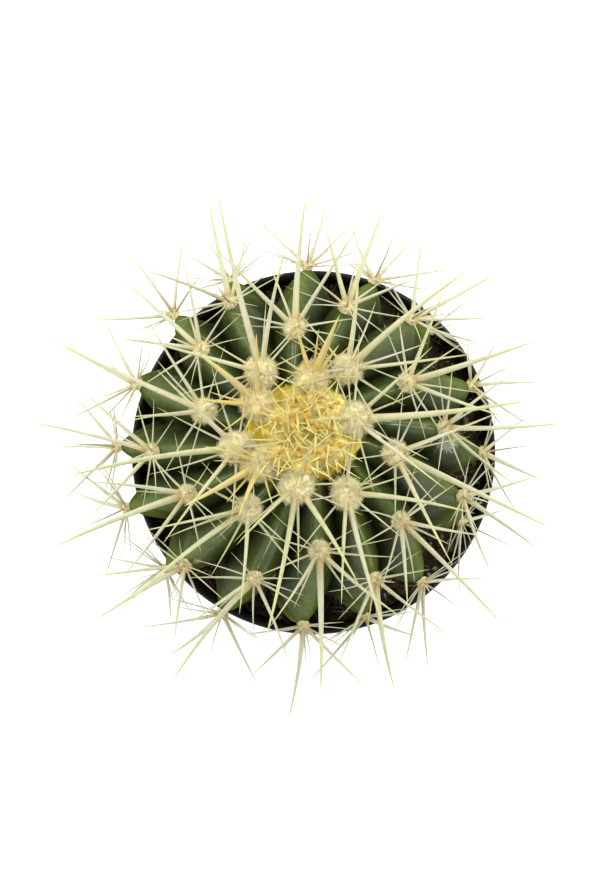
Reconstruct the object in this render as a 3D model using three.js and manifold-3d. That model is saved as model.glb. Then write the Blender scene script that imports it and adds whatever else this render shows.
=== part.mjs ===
// A young golden barrel cactus in a thin round plastic nursery pot.
//
// The frame: millimetres, +Z up, the origin at the centre of the pot's underside.
// The pieces: the pot, the potting soil that fills it, the ribbed stem with its root collar in
// the soil, the woolly crown, and one cluster of spines for each grown areole.

import * as THREE from "three";
import { mergeVertices } from "three/addons/utils/BufferGeometryUtils.js";
import Module from "manifold-3d";

const wasm = await Module();
wasm.setup();

// ---------------------------------------------------------------- driving dimensions, mm

const POT_HEIGHT = 70;
const POT_RIM_RADIUS = 42.5;
const POT_BASE_RADIUS = 30;
const POT_WALL = 1.2;
const POT_FLOOR = 1.6;
const POT_BAND_HEIGHT = 11;      // the straight band below the rim
const POT_BAND_STEP = 1.6;       // how far the band stands out from the tapered wall
const POT_BEAD = 0.6;            // the bead along the rim's outer edge
const POT_BEAD_TOP = 0.4;        // levels of the bead's edges, below the rim
const POT_BEAD_LOW = 1.3;
const POT_BEAD_ROOT = 1.8;
const POT_FOOT_BEVEL = 1;
const POT_SIDES = 48;

const DRAIN_HOLES = 8;
const DRAIN_HOLE_RADIUS = 3;
const DRAIN_CIRCLE_RADIUS = 21;
const DRAIN_HOLE_SIDES = 12;

const SOIL_TOP = 62;             // mean height of the soil's surface
const SOIL_UNEVENNESS = 0.9;
const SOIL_SIDES = 32;
const SOIL_RINGS = [36.5, 32, 27, 18, 0];
const SOIL_PEAK = 2.2;           // the soil's highest lumps, over its unevenness
const SOIL_EASE = 0.1;           // further clearance where the pot's wall slopes

const GAP = 0.3;                 // clearance between pieces that touch

const STEM_RADIUS = 40;          // to the crests of the ribs, at the widest level
const STEM_UPPER_HEIGHT = 36;    // from the widest level up to the top
const STEM_LOWER_HEIGHT = 30;    // from the widest level down to the root collar
const STEM_CENTRE = new THREE.Vector3(-3.4, 1.3, 85);
const STEM_LEAN = 5.5;           // degrees off upright
const STEM_LEAN_TOWARDS = 72;    // degrees round from +X

// The ribs, in order round the stem. crest is the crest's direction, in degrees, where it crosses
// 45 degrees from the top. The areoles on it are given in degrees down from the top: grown ones,
// and on some ribs a young one that still has its golden wool and short spines.
const RIB_LAYOUT = [
  { crest: 5, grown: [17, 52, 86] },
  { crest: 26, young: 12, grown: [41, 84] },
  { crest: 51, grown: [26, 64, 97] },
  { crest: 72, young: 18, grown: [50, 82] },
  { crest: 93, young: 9, grown: [37, 76] },
  { crest: 120, grown: [25, 58, 92] },
  { crest: 140, young: 18, grown: [48, 80] },
  { crest: 165, grown: [35, 71] },
  { crest: 187, grown: [23, 56, 82] },
  { crest: 207, young: 18, grown: [46, 88] },
  { crest: 231, grown: [32, 68, 98] },
  { crest: 253, grown: [18, 55, 90] },
  { crest: 277, young: 8, grown: [41, 80] },
  { crest: 300, grown: [25, 60, 95] },
  { crest: 319, young: 11, grown: [46, 86] },
  { crest: 345, grown: [32, 68, 98] },
];
const CROWN_POLAR = 14;          // young areoles nearer the top than this belong to the crown
const OLDEST_POLAR = 98;
const RIB_SWIRL = -0.17;         // degrees that a crest turns for each degree down the stem
const CROWN_SWIRL = 12;          // further degrees that the crests turn towards the top
const CROWN_SWIRL_SPREAD = 18;
const RIB_DEPTH = 8;             // crest to valley, at the widest level
const CREST_ROUNDNESS = 0.16;    // of half a rib's width
const COLUMNS_PER_RIB = 4;
const STEM_RINGS = 16;
const TUBERCLE_HEIGHT = 1.3;     // the swelling of the rib round an areole
const TUBERCLE_SPREAD = 7;       // degrees

// The wool pad of an areole wears off with age: polar angles and the pad's radius at each.
const PAD_WEAR = [[16, 3.4], [25, 3.1], [37, 2.5], [52, 1.8], [98, 1.3]];
const PAD_FLATNESS = 0.62;
const PAD_LIFT = 0.25;           // height of the pad's middle over the skin, in radii
const PAD_ROUND_STEPS = 7;
const PAD_RISE_STEPS = 4;

// The spines of a cluster. turn is the direction round the areole, from straight down the rib;
// lean is the angle away from the areole's own outward direction.
const CENTRAL_SPINES = [
  { turn: -3, lean: 60, length: 37, radius: 1.05 },
  { turn: 52, lean: 58, length: 27, radius: 0.85 },
  { turn: -46, lean: 60, length: 27, radius: 0.8 },
  { turn: 188, lean: 42, length: 21, radius: 0.72 },
];
const RADIAL_SPINE = { lean: 77, length: 18, radius: 0.52 };
const RADIAL_TURNS = [24, 78, 110, 146, 214, 250, 284, 334];
const YOUNG_SPINE_SHARE = 0.62;  // length of a golden cluster's spines against a grown one's
const YOUNG_LEAN_SHARE = 0.8;
const SPINE_SIDES = 3;
const TURN_SPREAD = 12;          // degrees either way
const LEAN_SPREAD = 6;           // degrees either way
const LENGTH_SPREAD = 0.14;      // share of the length either way
const OLD_SPINE_SHARE = 0.76;    // length of an old cluster's spines against a young grown one's
const FULL_LENGTH_POLAR = 25;    // the spines shorten from here
const OLD_LENGTH_POLAR = 55;     // to here
const OLD_THICKNESS_SHARE = 0.65;
const SPINE_CLEARANCE = 0.2;
const POT_CLEARANCE = 0.8;

// The crown: a low dome of wool that the young spines stand in.
const CROWN_RADIUS = 9;
const CROWN_HEIGHT = 4.6;
const CROWN_SIDES = 14;
const CROWN_RISE_STEPS = 6;
const CROWN_BUMP = 0.9;
const CROWN_SPINES = 26;
const GOLDEN_ANGLE = 137.5;      // degrees from each crown spine to the next
const CROWN_SPINE_LENGTH = 12;
const CROWN_SPINE_RADIUS = 0.7;
const CROWN_SPINE_REACH = 0.72;  // share of the dome's radius that the spines stand in
const CROWN_SPINE_LEAN = { middle: 12, edge: 54, spread: 8 };
const CROWN_SPINE_SINK = 0.8;    // how far a crown spine's root lies below the stem's top
const CROWN_SINK = 3.2;          // how far the dome's middle plane lies below the stem's top

// ---------------------------------------------------------------- materials

function finish(color, roughness) {
  return new THREE.MeshStandardMaterial({ color, roughness, metalness: 0 });
}

const potPlastic = finish(0x151516, 0.45);
const soilPeat = finish(0x2b211a, 0.95);
const stemSkin = finish(0x3c6b3a, 0.42);
const crownWool = finish(0xe6c766, 0.9);
const spineYellow = finish(0xe4dcae, 0.5);

// ---------------------------------------------------------------- helpers

function radians(degrees) {
  return THREE.MathUtils.degToRad(degrees);
}

// A repeatable row of numbers from -1 to 1.
function makeSpread(seed) {
  let state = seed;
  return () => {
    state = (state * 1664525 + 1013904223) % 4294967296;
    return (state / 4294967296) * 2 - 1;
  };
}

function toSolid(geometry) {
  const bare = geometry.clone();
  bare.deleteAttribute("normal");
  bare.deleteAttribute("uv");
  const welded = mergeVertices(bare);
  return new wasm.Manifold(new wasm.Mesh({
    numProp: 3,
    vertProperties: new Float32Array(welded.attributes.position.array),
    triVerts: new Uint32Array(welded.index.array),
  }));
}

function toGeometry(solid) {
  const mesh = solid.getMesh();
  const geometry = new THREE.BufferGeometry();
  geometry.setAttribute("position", new THREE.BufferAttribute(mesh.vertProperties, 3));
  geometry.setIndex(new THREE.BufferAttribute(mesh.triVerts, 1));
  geometry.computeVertexNormals();
  return geometry;
}

function piece(name, geometry, material) {
  const mesh = new THREE.Mesh(geometry, material);
  mesh.name = name;
  return mesh;
}

function eachVertex(geometry, move) {
  const place = geometry.attributes.position;
  const point = new THREE.Vector3();
  for (let i = 0; i < place.count; i += 1) {
    point.fromBufferAttribute(place, i);
    move(point, i);
    place.setXYZ(i, point.x, point.y, point.z);
  }
  return geometry;
}

// A lathe turns round +Y, so it is stood up to turn round +Z.
function latheUpright(profile, sides) {
  const points = profile.map(([radius, height]) => new THREE.Vector2(radius, height));
  return new THREE.LatheGeometry(points, sides).rotateX(Math.PI / 2);
}

// ---------------------------------------------------------------- the pot

const bandBottom = POT_HEIGHT - POT_BAND_HEIGHT;
const bandRadius = POT_RIM_RADIUS - POT_BEAD;
const wallTopRadius = bandRadius - POT_BAND_STEP;

function makePot() {
  const profile = [
    [0, 0],
    [POT_BASE_RADIUS - POT_FOOT_BEVEL, 0],
    [POT_BASE_RADIUS, POT_FOOT_BEVEL],
    [wallTopRadius, bandBottom],
    [bandRadius, bandBottom + POT_BAND_STEP],
    [bandRadius, POT_HEIGHT - POT_BEAD_ROOT],
    [POT_RIM_RADIUS, POT_HEIGHT - POT_BEAD_LOW],
    [POT_RIM_RADIUS, POT_HEIGHT - POT_BEAD_TOP],
    [POT_RIM_RADIUS - POT_BEAD_TOP, POT_HEIGHT],
    [bandRadius - POT_WALL, POT_HEIGHT],
    [bandRadius - POT_WALL, bandBottom + POT_BAND_STEP],
    [wallTopRadius - POT_WALL, bandBottom],
    [POT_BASE_RADIUS - POT_WALL, POT_FLOOR],
    [0, POT_FLOOR],
  ];
  let pot = toSolid(latheUpright(profile, POT_SIDES));
  for (let i = 0; i < DRAIN_HOLES; i += 1) {
    const angle = radians((i + 0.5) * 360 / DRAIN_HOLES);
    const hole = new THREE.CylinderGeometry(
      DRAIN_HOLE_RADIUS, DRAIN_HOLE_RADIUS, POT_FLOOR * 4, DRAIN_HOLE_SIDES);
    hole.rotateX(Math.PI / 2);
    hole.translate(
      DRAIN_CIRCLE_RADIUS * Math.cos(angle), DRAIN_CIRCLE_RADIUS * Math.sin(angle), 0);
    pot = pot.subtract(toSolid(hole));
  }
  return piece("nursery_pot", toGeometry(pot), potPlastic);
}

// ---------------------------------------------------------------- the stem's surface

const RIBS = RIB_LAYOUT.length;

// Where crest number rib lies at a polar angle, in degrees round. rib may run past the last.
function crestDirection(rib, polar) {
  const lap = Math.floor(rib / RIBS);
  const swirl = RIB_SWIRL * (polar - 45)
    + CROWN_SWIRL * Math.exp(-((polar / CROWN_SWIRL_SPREAD) ** 2));
  return RIB_LAYOUT[rib - lap * RIBS].crest + lap * 360 + swirl;
}

// How far along the ribs a direction lies: 2.5 is midway from crest 2 to crest 3.
function ribPosition(direction, polar) {
  let turned = direction;
  while (turned < crestDirection(0, polar)) turned += 360;
  while (turned >= crestDirection(RIBS, polar)) turned -= 360;
  let rib = 0;
  while (turned >= crestDirection(rib + 1, polar)) rib += 1;
  const start = crestDirection(rib, polar);
  return rib + (turned - start) / (crestDirection(rib + 1, polar) - start);
}

// The areoles that bear clusters of their own, from the top of the stem down.
function listAreoles() {
  const found = [];
  RIB_LAYOUT.forEach(({ young, grown }, rib) => {
    if (young > CROWN_POLAR) found.push({ rib, polar: young, isYoung: true, age: 0 });
    for (const polar of grown) {
      found.push({ rib, polar, isYoung: false, age: polar / OLDEST_POLAR });
    }
  });
  return found.sort((a, b) => a.polar - b.polar || a.rib - b.rib);
}

const areoles = listAreoles();

function tubercleSwelling(position, polar) {
  let swelling = 0;
  for (const areole of areoles) {
    let offset = Math.abs(position - areole.rib);
    offset = Math.min(offset, RIBS - offset);
    const down = (polar - areole.polar) / TUBERCLE_SPREAD;
    swelling += TUBERCLE_HEIGHT * Math.exp(-down * down - offset * offset * 12);
  }
  return swelling;
}

// How far down a rib's side a position is: 0 on the crest, 1 at the bottom of the furrow.
function ribValley(position) {
  const aside = 2 * Math.abs(position - Math.round(position));
  const crest = CREST_ROUNDNESS;
  return (Math.hypot(aside, crest) - crest) / (Math.hypot(1, crest) - crest);
}

// The stem's radius from its centre, at a polar angle and a position along the ribs.
function stemRadius(position, polar) {
  const across = Math.sin(radians(polar)) / STEM_RADIUS;
  const height = polar < 90 ? STEM_UPPER_HEIGHT : STEM_LOWER_HEIGHT;
  const along = Math.cos(radians(polar)) / height;
  const smooth = 1 / Math.hypot(across, along);
  const depth = RIB_DEPTH * Math.sin(radians(polar)) ** 1.2;
  const swelling = tubercleSwelling(position, polar) * Math.sqrt(Math.sin(radians(polar)));
  return smooth - depth * ribValley(position) + swelling;
}

// A point of the stem's surface, in the stem's own upright frame.
function stemPoint(position, polar, outset = 0) {
  const rib = Math.floor(position);
  const start = crestDirection(rib, polar);
  const direction = start + (position - rib) * (crestDirection(rib + 1, polar) - start);
  const radius = stemRadius(position % RIBS, polar) + outset;
  const outward = radius * Math.abs(Math.sin(radians(polar)));
  return new THREE.Vector3(
    outward * Math.cos(radians(direction)),
    outward * Math.sin(radians(direction)),
    radius * Math.cos(radians(polar)));
}

function stemGeometry(outset) {
  const columns = RIBS * COLUMNS_PER_RIB;
  const geometry = new THREE.SphereGeometry(1, columns, STEM_RINGS);
  return eachVertex(geometry, (point, i) => {
    const column = i % (columns + 1);
    const ring = Math.floor(i / (columns + 1));
    const position = (column % columns) / COLUMNS_PER_RIB;
    point.copy(stemPoint(position, ring * 180 / STEM_RINGS, outset));
  });
}

// ---------------------------------------------------------------- the leaning stem's place

const leanAxis = new THREE.Vector3(
  -Math.sin(radians(STEM_LEAN_TOWARDS)), Math.cos(radians(STEM_LEAN_TOWARDS)), 0);
const plant = new THREE.Group();
plant.position.copy(STEM_CENTRE);
plant.quaternion.setFromAxisAngle(leanAxis, radians(STEM_LEAN));
plant.updateMatrix();

// ---------------------------------------------------------------- the soil

function makeSoil() {
  const inner = GAP + POT_WALL;
  const profile = [
    [0, POT_FLOOR + GAP],
    [POT_BASE_RADIUS - inner - SOIL_EASE, POT_FLOOR + GAP],
    [wallTopRadius - inner - SOIL_EASE / 2, bandBottom - SOIL_EASE],
    [bandRadius - inner, bandBottom + POT_BAND_STEP],
    [bandRadius - inner, SOIL_TOP],
  ];
  for (const radius of SOIL_RINGS) {
    profile.push([radius, SOIL_TOP]);
  }
  const geometry = latheUpright(profile, SOIL_SIDES);
  eachVertex(geometry, (point) => {
    if (point.z > SOIL_TOP - 0.01) {
      const lumps = Math.sin(point.x * 0.41 + 1) * Math.cos(point.y * 0.37)
        + 0.6 * Math.sin(point.x * 0.9 - point.y * 0.7);
      point.z += SOIL_UNEVENNESS * lumps;
    }
  });
  const socket = toSolid(stemGeometry(GAP).applyMatrix4(plant.matrix));
  return piece("potting_soil", toGeometry(toSolid(geometry).subtract(socket)), soilPeat);
}

// ---------------------------------------------------------------- keeping spines clear

// Everything that a new spine has to miss: straight rods with round ends.
const rods = [];
const CROWN = -1;                // the crown's number among the clusters
const crownMiddle = STEM_UPPER_HEIGHT - CROWN_SINK;

function rodGap(a, b, radius, rod) {
  const own = new THREE.Vector3().subVectors(b, a);
  const other = new THREE.Vector3().subVectors(rod.b, rod.a);
  const between = new THREE.Vector3().subVectors(a, rod.a);
  const ownSquare = own.lengthSq();
  const otherSquare = Math.max(other.lengthSq(), 1e-9);
  const mixed = own.dot(other);
  const ownPart = own.dot(between);
  const otherPart = other.dot(between);
  const spread = ownSquare * otherSquare - mixed * mixed;
  let s = spread > 1e-9 ? (mixed * otherPart - ownPart * otherSquare) / spread : 0;
  s = THREE.MathUtils.clamp(s, 0, 1);
  const t = THREE.MathUtils.clamp((mixed * s + otherPart) / otherSquare, 0, 1);
  s = THREE.MathUtils.clamp((mixed * t - ownPart) / ownSquare, 0, 1);
  const nearOwn = own.clone().multiplyScalar(s).add(a);
  const nearOther = other.clone().multiplyScalar(t).add(rod.a);
  const ownRadius = radius * (1 - s);
  const otherRadius = rod.tapered ? rod.radius * (1 - t) : rod.radius;
  return nearOwn.distanceTo(nearOther) - ownRadius - otherRadius;
}

function hitsStem(point, radius) {
  const length = point.length();
  const polar = THREE.MathUtils.radToDeg(Math.acos(point.z / length));
  const direction = THREE.MathUtils.radToDeg(Math.atan2(point.y, point.x));
  return length < stemRadius(ribPosition(direction, polar), polar) + radius + GAP;
}

function hitsPotOrSoil(point, radius) {
  const world = point.clone().applyMatrix4(plant.matrix);
  const outward = Math.hypot(world.x, world.y);
  if (world.z > POT_HEIGHT + POT_CLEARANCE + radius) return false;
  const overSoil = world.z > SOIL_TOP + SOIL_PEAK * SOIL_UNEVENNESS + radius;
  return !overSoil || outward > bandRadius - POT_WALL - POT_CLEARANCE - radius;
}

function hitsCrown(point, radius) {
  const room = radius + GAP + CROWN_BUMP;
  const outward = Math.hypot(point.x, point.y) / (CROWN_RADIUS + room);
  const height = (point.z - crownMiddle) / (CROWN_HEIGHT + room);
  return Math.hypot(outward, height) < 1;
}

function isClear(start, end, radius, cluster) {
  const point = new THREE.Vector3();
  for (let share = 0.2; share <= 1.001; share += 0.1) {
    point.lerpVectors(start, end, share);
    const here = radius * (1 - share);
    if (hitsStem(point, here) || hitsPotOrSoil(point, here)) return false;
    if (cluster !== CROWN && hitsCrown(point, here)) return false;
  }
  return rods.every((rod) => rod.cluster === cluster
    || rodGap(start, end, radius, rod) >= SPINE_CLEARANCE);
}

// ---------------------------------------------------------------- spine clusters

const SEARCH_STEPS = 60;
const SEARCH_TURN = 26;          // degrees either way at the end of the search
const SEARCH_LEAN = 22;          // degrees inward at the end of the search
const SEARCH_SHORTENING = 0.35;

function spineSolid(start, end, radius) {
  const length = start.distanceTo(end);
  const cone = new THREE.ConeGeometry(radius, length, SPINE_SIDES);
  cone.translate(0, length / 2, 0);
  const towards = new THREE.Vector3().subVectors(end, start).normalize();
  const turn = new THREE.Quaternion().setFromUnitVectors(new THREE.Vector3(0, 1, 0), towards);
  cone.applyQuaternion(turn);
  cone.translate(start.x, start.y, start.z);
  return toSolid(cone);
}

// The areole's own directions: out of the stem, down the rib, and across it.
function areoleFrame(areole) {
  const here = stemPoint(areole.rib, areole.polar);
  const below = stemPoint(areole.rib, areole.polar + 6);
  const above = stemPoint(areole.rib, areole.polar - 6);
  const down = below.sub(above).normalize();
  const across = new THREE.Vector3(0, 0, 1).cross(here).normalize();
  const out = new THREE.Vector3().crossVectors(down, across).normalize();
  return { here, out, down, across: new THREE.Vector3().crossVectors(out, down) };
}

function spineDirection(frame, turn, lean) {
  const sideways = frame.down.clone().multiplyScalar(Math.cos(radians(turn)))
    .addScaledVector(frame.across, Math.sin(radians(turn)));
  return frame.out.clone().multiplyScalar(Math.cos(radians(lean)))
    .addScaledVector(sideways, Math.sin(radians(lean)));
}

// Looks for the first free direction near the one that the spine should take.
function placeSpine(frame, start, spine, cluster, spread) {
  for (let step = 0; step < SEARCH_STEPS; step += 1) {
    const effort = step / (SEARCH_STEPS - 1);
    const turn = spine.turn + SEARCH_TURN * effort * spread();
    const lean = spine.lean - SEARCH_LEAN * effort * Math.abs(spread());
    const length = spine.length * (1 - SEARCH_SHORTENING * effort);
    const end = start.clone().addScaledVector(spineDirection(frame, turn, lean), length);
    if (isClear(start, end, spine.radius, cluster)) return end;
  }
  return null;
}

function wantedSpines(areole, spread) {
  const shortening = THREE.MathUtils.smoothstep(areole.polar, FULL_LENGTH_POLAR, OLD_LENGTH_POLAR);
  const share = areole.isYoung ? YOUNG_SPINE_SHARE : 1 - (1 - OLD_SPINE_SHARE) * shortening;
  const thickness = 1 - (1 - OLD_THICKNESS_SHARE) * areole.age;
  const radials = RADIAL_TURNS.map((turn) => ({ ...RADIAL_SPINE, turn }));
  return [...CENTRAL_SPINES, ...radials].map((spine) => ({
    turn: spine.turn + TURN_SPREAD * spread(),
    lean: (spine.lean + LEAN_SPREAD * spread()) * (areole.isYoung ? YOUNG_LEAN_SHARE : 1),
    length: spine.length * share * (1 + LENGTH_SPREAD * spread()),
    radius: spine.radius * thickness,
  }));
}

function padRadius(polar) {
  let next = 1;
  while (PAD_WEAR[next][0] < polar) next += 1;
  const [startPolar, startRadius] = PAD_WEAR[next - 1];
  const [endPolar, endRadius] = PAD_WEAR[next];
  return THREE.MathUtils.mapLinear(polar, startPolar, endPolar, startRadius, endRadius);
}

// The areole's frame with its pad's size and middle.
function clusterFrame(areole) {
  const frame = areoleFrame(areole);
  const radius = padRadius(areole.polar);
  const heart = frame.here.clone().addScaledVector(frame.out, PAD_LIFT * radius + GAP);
  return { ...frame, radius, heart };
}

function makePad(frame, radius) {
  const pad = new THREE.SphereGeometry(radius, PAD_ROUND_STEPS, PAD_RISE_STEPS);
  pad.rotateX(Math.PI / 2);
  pad.scale(1, 1, PAD_FLATNESS);
  const basis = new THREE.Matrix4().makeBasis(frame.down, frame.across, frame.out);
  pad.applyMatrix4(basis);
  pad.translate(frame.heart.x, frame.heart.y, frame.heart.z);
  return toSolid(pad);
}

const stemCutter = toSolid(stemGeometry(GAP));

function makeClusters() {
  const frames = areoles.map(clusterFrame);
  frames.forEach(({ heart, radius }, cluster) => {
    rods.push({ a: heart, b: heart, radius, cluster });
  });
  return areoles.map((areole, cluster) => {
    const frame = frames[cluster];
    const spread = makeSpread(1009 + cluster * 7919);
    let solid = makePad(frame, frame.radius);
    for (const spine of wantedSpines(areole, spread)) {
      const end = placeSpine(frame, frame.heart, spine, cluster, spread);
      if (end === null) continue;
      rods.push({ a: frame.heart, b: end, radius: spine.radius, cluster, tapered: true });
      solid = solid.add(spineSolid(frame.heart, end, spine.radius));
    }
    const number = String(cluster + 1).padStart(2, "0");
    return piece(`spine_cluster_${number}`, toGeometry(solid.subtract(stemCutter)), spineYellow);
  });
}

// ---------------------------------------------------------------- the crown

function makeCrown() {
  const spread = makeSpread(77);
  const dome = new THREE.SphereGeometry(1, CROWN_SIDES, CROWN_RISE_STEPS);
  dome.rotateX(Math.PI / 2);
  eachVertex(dome, (point) => {
    const lumps = Math.sin(point.x * 7 + 1) * Math.cos(point.y * 6);
    point.x *= CROWN_RADIUS;
    point.y *= CROWN_RADIUS;
    point.z = point.z * (CROWN_HEIGHT + CROWN_BUMP * lumps) + crownMiddle;
  });
  let crown = toSolid(dome);
  for (const areole of areoles.filter(({ polar }) => polar < 2 * CROWN_POLAR)) {
    const frame = clusterFrame(areole);
    crown = crown.subtract(makePad(frame, frame.radius + GAP / PAD_FLATNESS));
  }
  for (let i = 0; i < CROWN_SPINES; i += 1) {
    // Sunflower spacing over the dome, from its middle to near its edge.
    const share = Math.sqrt((i + 0.5) / CROWN_SPINES);
    const turn = radians(i * GOLDEN_ANGLE);
    const reach = CROWN_SPINE_REACH * CROWN_RADIUS * share;
    const start = new THREE.Vector3(
      reach * Math.cos(turn), reach * Math.sin(turn), STEM_UPPER_HEIGHT - CROWN_SPINE_SINK);
    const { middle, edge, spread: leanSpread } = CROWN_SPINE_LEAN;
    const lean = radians(THREE.MathUtils.lerp(middle, edge, share) + leanSpread * spread());
    const length = CROWN_SPINE_LENGTH * (0.75 + 0.35 * share + 0.15 * spread());
    for (let tries = 0; tries < SEARCH_STEPS; tries += 1) {
      const away = turn + radians(SEARCH_TURN * spread() * tries / SEARCH_STEPS);
      const end = new THREE.Vector3(
        Math.sin(lean) * Math.cos(away), Math.sin(lean) * Math.sin(away), Math.cos(lean));
      end.multiplyScalar(length).add(start);
      if (isClear(start, end, CROWN_SPINE_RADIUS, CROWN)) {
        crown = crown.add(spineSolid(start, end, CROWN_SPINE_RADIUS));
        break;
      }
    }
  }
  return piece("crown_wool", toGeometry(crown.subtract(stemCutter)), crownWool);
}

// ---------------------------------------------------------------- the whole object

plant.add(piece("stem", toGeometry(toSolid(stemGeometry(0))), stemSkin));
for (const cluster of makeClusters()) {
  plant.add(cluster);
}
plant.add(makeCrown());

const group = new THREE.Group();
group.add(makePot(), makeSoil(), plant);

export default group;
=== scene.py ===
# A young golden barrel cactus in a black nursery pot, seen from straight above.
# Every length in this file is in metres, in the frame's own axes, unless a name says otherwise.
import math

import bmesh
import bpy
import numpy as np
from mathutils import Matrix, Vector


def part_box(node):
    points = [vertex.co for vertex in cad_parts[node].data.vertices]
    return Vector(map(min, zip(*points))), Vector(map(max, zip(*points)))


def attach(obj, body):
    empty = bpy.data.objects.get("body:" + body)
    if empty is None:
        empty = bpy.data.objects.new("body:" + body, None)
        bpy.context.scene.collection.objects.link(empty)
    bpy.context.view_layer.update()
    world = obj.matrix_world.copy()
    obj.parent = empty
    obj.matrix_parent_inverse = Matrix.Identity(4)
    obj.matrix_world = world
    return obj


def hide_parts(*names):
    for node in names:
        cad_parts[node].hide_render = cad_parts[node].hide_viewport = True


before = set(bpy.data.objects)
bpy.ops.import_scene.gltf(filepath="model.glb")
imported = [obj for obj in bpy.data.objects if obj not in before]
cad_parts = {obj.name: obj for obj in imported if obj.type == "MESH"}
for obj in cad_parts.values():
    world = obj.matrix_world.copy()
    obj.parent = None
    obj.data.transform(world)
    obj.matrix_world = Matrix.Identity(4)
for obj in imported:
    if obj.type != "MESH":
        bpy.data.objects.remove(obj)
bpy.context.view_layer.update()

MM = 0.001

# -------- the design's dimensions
# The same driving dimensions as the CAD part: they give the places of the ribs and areoles.

POT_RADIUS = (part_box("nursery_pot")[1].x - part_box("nursery_pot")[0].x) / 2
POT_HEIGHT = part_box("nursery_pot")[1].z
SOIL_TOP = 62 * MM

STEM_RADIUS = 40 * MM
STEM_UPPER_HEIGHT = 36 * MM
STEM_LOWER_HEIGHT = 30 * MM
STEM_CENTRE = Vector((-3.4, 1.3, 85)) * MM
STEM_LEAN = math.radians(5.5)
STEM_LEAN_TOWARDS = math.radians(72)

# The ribs in order round the stem: the direction of the crest where it crosses 45 degrees from
# the top, the polar angle of the young golden areole or None, and those of the grown areoles.
RIB_LAYOUT = [
    (5, None, (17, 52, 86)),
    (26, 12, (41, 84)),
    (51, None, (26, 64, 97)),
    (72, 18, (50, 82)),
    (93, 9, (37, 76)),
    (120, None, (25, 58, 92)),
    (140, 18, (48, 80)),
    (165, None, (35, 71)),
    (187, None, (23, 56, 82)),
    (207, 18, (46, 88)),
    (231, None, (32, 68, 98)),
    (253, None, (18, 55, 90)),
    (277, 8, (41, 80)),
    (300, None, (25, 60, 95)),
    (319, 11, (46, 86)),
    (345, None, (32, 68, 98)),
]
RIB_CRESTS = np.array([crest for crest, _, _ in RIB_LAYOUT])
RIBS = len(RIB_LAYOUT)
CROWN_POLAR = 14
OLDEST_POLAR = 98
RIB_SWIRL = -0.17                # degrees round for each degree down
CROWN_SWIRL = 12
CROWN_SWIRL_SPREAD = 18
RIB_DEPTH = 8 * MM
CREST_ROUNDNESS = 0.16           # of half a rib's width
TUBERCLE_HEIGHT = 1.3 * MM
TUBERCLE_SPREAD = 7              # degrees
TUBERCLE_NARROWNESS = 12         # how fast it falls away to the sides, in ribs squared
FURROW_FADE = 1.2                # how fast the furrows get shallow towards the top and foot

PAD_POLARS = [16, 25, 37, 52, 98]        # the wool pad's radius in mm at these polar angles
PAD_RADII = [3.4, 3.1, 2.5, 1.8, 1.3]
PAD_LIFT = 0.25
PAD_GAP = 0.3 * MM


# -------- mesh helpers

def build_object(name, points, faces, attributes, materials):
    """A mesh object from arrays; faces is a list of index arrays, each (count, corners)."""
    corner_counts = np.concatenate([np.full(len(block), block.shape[1]) for block in faces])
    corners = np.concatenate([block.ravel() for block in faces]).astype(np.int32)
    starts = np.concatenate([[0], np.cumsum(corner_counts)[:-1]]).astype(np.int32)
    mesh = bpy.data.meshes.new(name)
    mesh.vertices.add(len(points))
    mesh.vertices.foreach_set("co", np.asarray(points, np.float32).ravel())
    mesh.loops.add(len(corners))
    mesh.loops.foreach_set("vertex_index", corners)
    mesh.polygons.add(len(corner_counts))
    mesh.polygons.foreach_set("loop_start", starts)
    mesh.update(calc_edges=True)
    mesh.polygons.foreach_set("use_smooth", np.ones(len(corner_counts), bool))
    for label, values in attributes.items():
        attribute = mesh.attributes.new(label, "FLOAT", "POINT")
        attribute.data.foreach_set("value", np.asarray(values, np.float32).ravel())
    for material in materials:
        mesh.materials.append(material)
    mesh.validate()
    piece = bpy.data.objects.new(name, mesh)
    bpy.context.scene.collection.objects.link(piece)
    return piece


def unit(vectors):
    length = np.linalg.norm(vectors, axis=-1, keepdims=True)
    return vectors / np.maximum(length, 1e-12)


def grid_quads(index):
    """Quads between the closed rings of a grid of vertex numbers, (rings, columns)."""
    return np.stack([index[:-1], index[1:], np.roll(index[1:], -1, 1),
                     np.roll(index[:-1], -1, 1)], axis=-1).reshape(-1, 4)


def ball_points(rise, turn):
    """Points of the unit ball, by the angle from its top and the angle round it."""
    return np.stack([np.sin(rise) * np.cos(turn), np.sin(rise) * np.sin(turn), np.cos(rise)],
                    axis=-1)


def tubes(paths, radii, sides, flatness, seed):
    """Closed tapered tubes, one for each path. paths is (tubes, steps, 3), radii (tubes, steps)."""
    count, steps = radii.shape
    dice = np.random.default_rng(seed)
    tangent = unit(np.gradient(paths, axis=1))
    guide = unit(dice.normal(size=(count, 1, 3)))
    side = unit(guide - tangent * np.sum(guide * tangent, axis=-1, keepdims=True))
    other = np.cross(tangent, side)
    angle = np.arange(sides) * 2 * np.pi / sides
    ring = (side[:, :, None, :] * np.cos(angle)[None, None, :, None]
            + other[:, :, None, :] * np.sin(angle)[None, None, :, None] * flatness)
    points = paths[:, :, None, :] + ring * radii[:, :, None, None]
    index = np.arange(count * steps * sides).reshape(count, steps, sides)
    low = index[:, :-1, :]
    high = index[:, 1:, :]
    quads = np.stack([low, np.roll(low, -1, 2), np.roll(high, -1, 2), high], axis=-1)
    base_caps = index[:, 0, ::-1]
    tip_caps = index[:, -1, :]
    faces = [quads.reshape(-1, 4), base_caps.reshape(-1, sides), tip_caps.reshape(-1, sides)]
    return points.reshape(-1, 3), faces


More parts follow.
